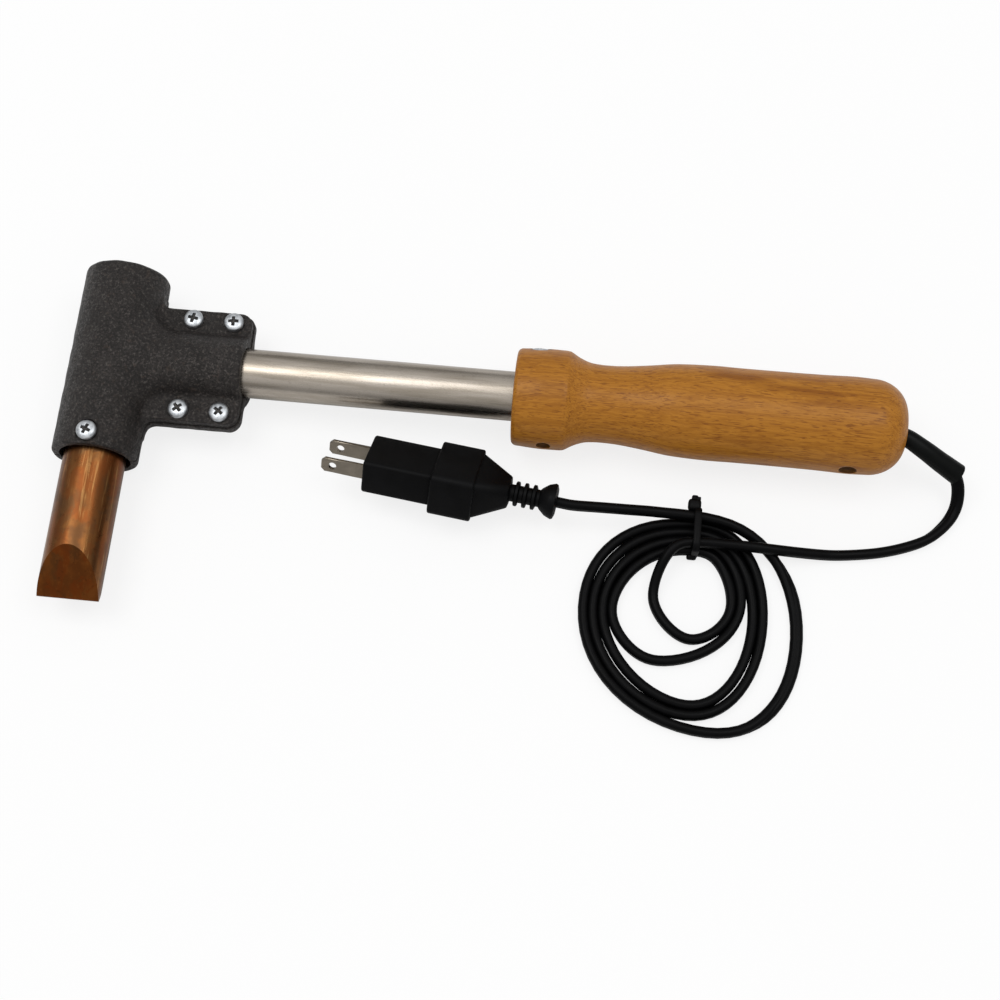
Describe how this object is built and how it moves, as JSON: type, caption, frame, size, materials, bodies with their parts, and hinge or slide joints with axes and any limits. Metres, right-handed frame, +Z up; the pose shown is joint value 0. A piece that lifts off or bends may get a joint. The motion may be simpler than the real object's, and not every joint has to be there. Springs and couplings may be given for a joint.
{
  "type": "electric soldering iron",
  "caption": "Heavy hammer-pattern electric soldering iron: cast T head with a chisel copper bit, steel stem, turned wooden handle and a tied flat cord with a two-blade plug.",
  "frame": {"origin": "middle of the iron's box without its cord, on the table that it lies on", "axes": "+X along the stem from the head to the handle, +Y from the bit towards the head's closed end, +Z up from the table"},
  "size_m": [0.3651, 0.1662, 0.0418],
  "materials": {
    "cast": "dark sand-cast, rough",
    "zinc": "zinc plated",
    "copper": "copper with a brown heat patina",
    "ceramic": "unglazed ceramic",
    "resistance": "resistance wire wound on the core",
    "wrap": "mineral heat wrap",
    "steel": "brushed, bright",
    "wood": "lacquered beech",
    "brass": "plated brass",
    "insulation": "woven glass sleeving over a wire",
    "black": "black flexible vinyl",
    "plug_black": "black moulded vinyl",
    "block": "steatite terminal block"
  },
  "bodies": {
    "iron": {"cord_clamp_screw": "zinc", "cord_coil": "black", "cord_core_1": "insulation", "cord_core_2": "insulation", "cord_lead": "black", "cord_sleeve": "black", "cord_tail": "black", "cord_tie": "black", "flange_screw_1": "zinc", "flange_screw_2": "zinc", "flange_screw_3": "zinc", "flange_screw_4": "zinc", "handle_screw_lower": "zinc", "handle_screw_upper": "zinc", "head_front_casting": "cast", "head_rear_casting": "cast", "heater_core": "ceramic", "heater_end_plug": "ceramic", "heater_winding": "resistance", "heater_wire_1": "insulation", "heater_wire_2": "insulation", "heater_wrap": "wrap", "plug_blade_1": "brass", "plug_blade_2": "brass", "plug_body": "plug_black", "plug_boot": "plug_black", "plug_collar": "plug_black", "stem_tube": "steel", "terminal_block": "block", "terminal_screw_1": "brass", "terminal_screw_2": "brass", "terminal_screw_3": "brass", "terminal_screw_4": "brass", "wooden_handle": "wood"},
    "bit": {"copper_bit": "copper"},
    "bit_clamp": {"bit_screw": "zinc"}
  },
  "joints": [
    {"name": "bit_slide", "type": "slide", "parent": "iron", "child": "bit", "axis": [0, -1, 0], "range_m": [0, 0.065]},
    {"name": "bit_screw_turn", "type": "hinge", "parent": "iron", "child": "bit_clamp", "pos_m": [-0.15222, -0.00545, 0.03379], "axis": [-0.017, 0, 0.9999], "continuous": true}
  ]
}
